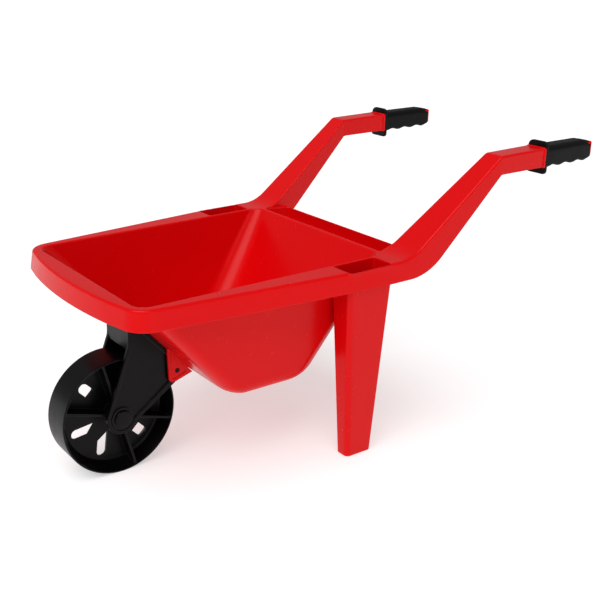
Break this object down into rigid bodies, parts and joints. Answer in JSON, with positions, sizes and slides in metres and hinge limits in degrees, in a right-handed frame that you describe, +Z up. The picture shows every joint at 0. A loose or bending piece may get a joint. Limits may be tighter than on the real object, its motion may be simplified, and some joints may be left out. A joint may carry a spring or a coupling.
{
  "type": "toy wheelbarrow",
  "caption": "Child's plastic sand wheelbarrow: a deep hopper with tapered hollow legs, rising handle arms with sleeved grips, and a spoked wheel in a front fork.",
  "frame": {"origin": "middle of the bounding box, on the ground under the legs and the wheel", "axes": "+X forward from the grips to the wheel, +Y to the barrow's left, +Z up"},
  "size_m": [0.7684, 0.368, 0.397],
  "materials": {
    "red_moulding": "glossy moulded red polypropylene",
    "black_moulding": "satin moulded black polypropylene",
    "wheel": "satin moulded black polypropylene",
    "grips": "soft satin black plastic sleeve",
    "steel": "zinc-plated steel"
  },
  "bodies": {
    "frame": {"tray": "red_moulding", "leg_left": "red_moulding", "leg_right": "red_moulding", "arm_left": "red_moulding", "arm_right": "red_moulding", "bracket_left": "red_moulding", "bracket_right": "red_moulding", "grip_left": "grips", "grip_right": "grips", "fork": "black_moulding", "axle": "steel", "axle_cap_left": "black_moulding", "axle_cap_right": "black_moulding", "bracket_pin_left": "black_moulding", "bracket_pin_right": "black_moulding"},
    "wheel": {"wheel": "wheel"}
  },
  "joints": [
    {"name": "wheel_spin", "type": "hinge", "parent": "frame", "child": "wheel", "pos_m": [0.30423, 0, 0.08], "axis": [0, 1, 0], "continuous": true}
  ]
}
